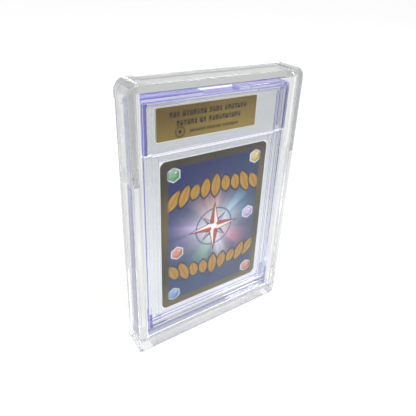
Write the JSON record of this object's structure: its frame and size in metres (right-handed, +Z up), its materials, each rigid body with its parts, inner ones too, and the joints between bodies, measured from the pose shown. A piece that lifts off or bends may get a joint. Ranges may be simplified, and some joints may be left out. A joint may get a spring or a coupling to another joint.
{
  "type": "graded card slab",
  "caption": "Sealed clear two-shell holder with a sleeved collector's card and labels, standing in a clear protective case with a lift-off cap and corner feet.",
  "frame": {"origin": "middle of the footprint, on the plane the four corner feet stand on", "axes": "+Z up along the slab's height, -Y towards the side that shows the card's back, +X to the right seen from there"},
  "size_m": [0.0956, 0.015, 0.1478],
  "materials": {
    "clear_case": "polished water-clear acrylic",
    "clear_shell": "clear moulded plastic with a faint violet tint",
    "sleeve_film": "thin clear film",
    "card_stock": "printed and coated card, deep blue with a bronze border",
    "gold_label": "brushed gold foil on label stock",
    "silver_label": "satin silver foil on label stock"
  },
  "bodies": {
    "case": {"case_body": "clear_case"},
    "cap": {"case_cap": "clear_case"},
    "slab": {"rear_shell": "clear_shell", "front_shell": "clear_shell", "card_sleeve": "sleeve_film", "card": "card_stock", "rear_label": "gold_label", "front_label": "silver_label"}
  },
  "joints": [
    {"name": "cap_slide", "type": "slide", "parent": "case", "child": "cap", "axis": [0, 0, 1], "range_m": [0, 0.145]},
    {"name": "slab_slide", "type": "slide", "parent": "case", "child": "slab", "axis": [0, 0, 1], "range_m": [0, 0.1]}
  ],
  "couplings": [
    {"joint": "slab_slide", "follows": "cap_slide", "ratio": 0.685}
  ]
}
